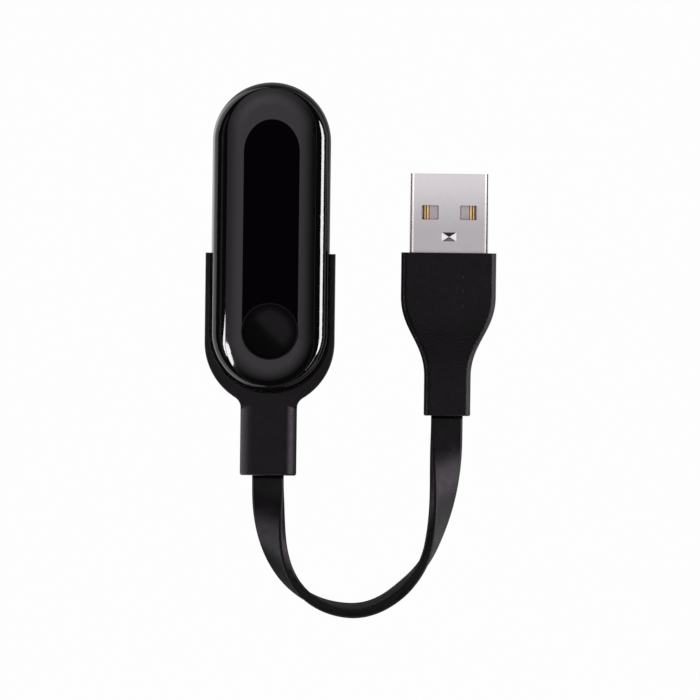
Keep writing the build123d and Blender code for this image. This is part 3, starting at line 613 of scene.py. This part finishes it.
def make_floor():
    """The pale floor that the camera sees. From below it is clear, so that the undersides can be seen."""
    floor, tree, shader = stage_sheet("floor", FLOOR_Z)
    shader.inputs["Emission Strength"].default_value = FLOOR_GLOW
    clear = add_node(tree, "ShaderNodeBsdfTransparent")
    blend = add_node(tree, "ShaderNodeMixShader")
    feed(tree, blend.inputs[0], add_node(tree, "ShaderNodeNewGeometry").outputs["Backfacing"])
    feed(tree, blend.inputs[1], shader.outputs[0])
    feed(tree, blend.inputs[2], clear.outputs[0])
    out = next(node for node in tree.nodes if node.bl_idname == "ShaderNodeOutputMaterial")
    feed(tree, out.inputs["Surface"], blend.outputs[0])
    floor.visible_glossy = False


def make_table():
    """The floor as the object's glossy sides mirror it: lighter to the left than under the plug."""
    table, tree, shader = stage_sheet("table", TABLE_Z)
    x = place_axes(tree)["X"]
    left = spread(tree, x, BRIGHT_GLOW, DIM_GLOW, start=BRIGHT_TO_X * MM, end=DIM_FROM_X * MM,
                  kind="SMOOTHSTEP")
    right = spread(tree, x, 0.0, RIGHT_GLOW, start=DIM_TO_X * MM, end=RIGHT_FROM_X * MM, kind="SMOOTHSTEP")
    feed(tree, shader.inputs["Emission Strength"], calc(tree, "ADD", left, right))
    table.visible_camera = False


def make_world():
    """White behind everything for the camera, and a dark studio for every other ray."""
    world = bpy.data.worlds.new("studio")
    bpy.context.scene.world = world
    world.use_nodes = True
    tree = world.node_tree
    output = tree.nodes["World Output"]
    dark = tree.nodes["Background"]
    dark.inputs["Color"].default_value = (1, 1, 1, 1)
    dark.inputs["Strength"].default_value = STUDIO_GLOW
    white = add_node(tree, "ShaderNodeBackground")
    white.inputs["Color"].default_value = (1, 1, 1, 1)
    white.inputs["Strength"].default_value = 1.0
    path = add_node(tree, "ShaderNodeLightPath")
    mix = add_node(tree, "ShaderNodeMixShader")
    feed(tree, mix.inputs[0], path.outputs["Is Camera Ray"])
    feed(tree, mix.inputs[1], dark.outputs[0])
    feed(tree, mix.inputs[2], white.outputs[0])
    feed(tree, output.inputs["Surface"], mix.outputs[0])


# ------------------------------------------------------------------ lights
# Each is a soft card that one group of pieces sees. A place, an aim and a size are in metres, and a
# glow is the brightness of the card's face.
WHITE = (1, 1, 1)
FAINT_VIOLET = (1.0, 0.93, 1.0)
PALE_VIOLET = (1.0, 0.9, 1.0)
SOFT_VIOLET = (1.0, 0.88, 1.0)
TRACKER_MIDDLE = (0, 0.005, 0.014)
PLUG_MIDDLE = (0.027, 0.01, 0.006)
NECK_MIDDLE = (0.0, -0.03, 0.004)
DISH_CARD_TURN = math.radians(-45)


def light_card(name, pieces, place, aim, size, glow, beam=180.0, on_matte=False, colour=WHITE,
               shape="RECTANGLE"):
    """A card of light that the camera doesn't see, and that reaches these pieces and nothing else."""
    data = bpy.data.lights.new(name, "AREA")
    data.shape = shape
    data.size, data.size_y = size
    area = size[0] * size[1] * (math.pi / 4 if shape == "ELLIPSE" else 1)
    data.energy = glow * math.pi * area
    data.spread = math.radians(beam)
    data.color = colour
    light = new_object(name, data)
    light.location = place
    light.rotation_euler = (Vector(aim) - Vector(place)).to_track_quat("-Z", "Y").to_euler()
    light.visible_camera = False
    light.visible_diffuse = on_matte
    group = bpy.data.collections.new(name + "_pieces")
    for piece in pieces:
        group.objects.link(piece)
    light.light_linking.receiver_collection = group
    return light


def pieces_with(*slots):
    """The CAD pieces that take these finishes."""
    record = frame["record"]["subparts"]
    return [frame["nodes"][part["node"]] for part in record if part["material_slot"] in slots]


def light_from_above(lens, others):
    """An even light from above. The lens has its own, narrower and leaning, so its rim darkens."""
    light_card("overhead", others, (0.01, 0.0, 0.5), (0.01, 0.0, 0.0), (0.8, 0.8), 0.028, beam=50,
               on_matte=True, colour=FAINT_VIOLET)
    light_card("lens_key", lens, (-0.026, 0.06, 0.514), (0, 0.008, 0.014), (0.6, 0.6), 0.055, beam=40,
               on_matte=True, colour=FAINT_VIOLET)


def light_tracker(lens, dish):
    """The streaks along the glossy shell's shoulder, and the soft sheen in the touch dish."""
    shell = lens + pieces_with("housing_gloss", "seal_rubber")
    light_card("right_strip", shell, (0.5, 0.005, 0.205), TRACKER_MIDDLE, (0.36, 0.17), 20, shape="ELLIPSE")
    light_card("right_tail", shell, (0.457, -0.2, 0.235), (0, -0.008, 0.014), (0.3, 0.05), 4)
    light_card("left_accent", shell, (-0.044, -0.0215, 0.0833), (-0.0065, -0.0215, 0.014), (0.034, 0.044),
               22, shape="ELLIPSE")
    light_card("left_fill", shell, (-0.42, 0.0, 0.28), TRACKER_MIDDLE, (0.4, 0.1), 0.25)
    card = light_card("dish_card", [dish], (-0.3, -0.308, 0.314), (-0.3, -0.308, 0), (1.6, 0.9), 0.22,
                      colour=PALE_VIOLET)
    card.rotation_euler = (0, 0, DISH_CARD_TURN)


def light_plug():
    """Cards round the bright metal, and one from above into the two windows of the shell."""
    cards = [
        ("steel_key", (0.027, 0.03, 0.4), PLUG_MIDDLE, (0.3, 0.3), 0.42),
        ("steel_left", (-0.12, 0.01, 0.2), PLUG_MIDDLE, (0.1, 0.16), 1.6),
        ("steel_right", (0.174, 0.01, 0.2), PLUG_MIDDLE, (0.1, 0.16), 1.6),
        ("steel_left_low", (0.0135, 0.011, 0.0002), (0.0135, 0.011, 1), (0.015, 0.015), 0.9),
        ("steel_right_low", (0.0405, 0.011, 0.0002), (0.0405, 0.011, 1), (0.015, 0.015), 0.9),
        ("steel_front", (0.027, 0.35, 0.1), PLUG_MIDDLE, (0.5, 0.22), 0.6),
        ("steel_back", (0.027, -0.35, 0.1), PLUG_MIDDLE, (0.5, 0.22), 0.6),
    ]
    metal_pieces = pieces_with("plug_steel", "gold")
    for name, place, aim, size, glow in cards:
        light_card(name, metal_pieces, place, aim, size, glow)
    light_card("window_light", pieces_with("insulator"), (0.027, 0.01, 0.4), PLUG_MIDDLE, (0.1, 0.1), 17,
               on_matte=True)


def light_matte_black(dark_pieces):
    """Dim cards on four sides of the matte pieces, and one more high on the cradle's left."""
    cards = [
        ("right_soft", dark_pieces, (0.33, -0.03, 0.13), (0.02, -0.03, 0.004), (0.4, 0.28), 2.0),
        ("left_soft", dark_pieces, (-0.3, -0.03, 0.09), NECK_MIDDLE, (0.4, 0.2), 1.0),
        ("front_soft", dark_pieces, (0.0, 0.35, 0.12), (0.0, 0.0, 0.004), (0.4, 0.2), 0.8),
        ("back_soft", dark_pieces, (0.0, -0.38, 0.12), NECK_MIDDLE, (0.4, 0.2), 0.8),
        ("neck_soft", pieces_with("cradle_plastic"), (-0.2, -0.03, 0.3), NECK_MIDDLE, (0.4, 0.16), 0.35),
    ]
    for name, pieces, place, aim, size, glow in cards:
        light_card(name, pieces, place, aim, size, glow, colour=SOFT_VIOLET)


def make_lights(cable, pane, dish):
    lens = pieces_with("front_lens")
    others = [piece for piece in frame["nodes"].values() if piece not in lens]
    light_from_above(lens, others + [cable, pane])
    light_tracker(lens, dish)
    light_plug()
    dark_pieces = [cable] + pieces_with("overmold", "cradle_plastic")
    light_matte_black(dark_pieces)
    undersides = dark_pieces + pieces_with("plug_steel", "sensor_window")
    undersides.append(frame["nodes"]["lower_housing"])
    light_card("under", undersides, (0.01, -0.01, -0.3), (0.01, -0.01, 0.0), (0.3, 0.3), 0.8, on_matte=True)


# ------------------------------------------------------------------ the whole scene
make_camera()
materials = build_materials()
cable = make_flat_cable(materials["cable_rubber"])
paint_nodes(materials)
pane = make_display_window()
dish = make_touch_dish()
make_pin_springs(materials)
make_floor()
make_table()
make_world()
make_lights(cable, pane, dish)
bpy.context.scene.view_settings.view_transform = "Standard"
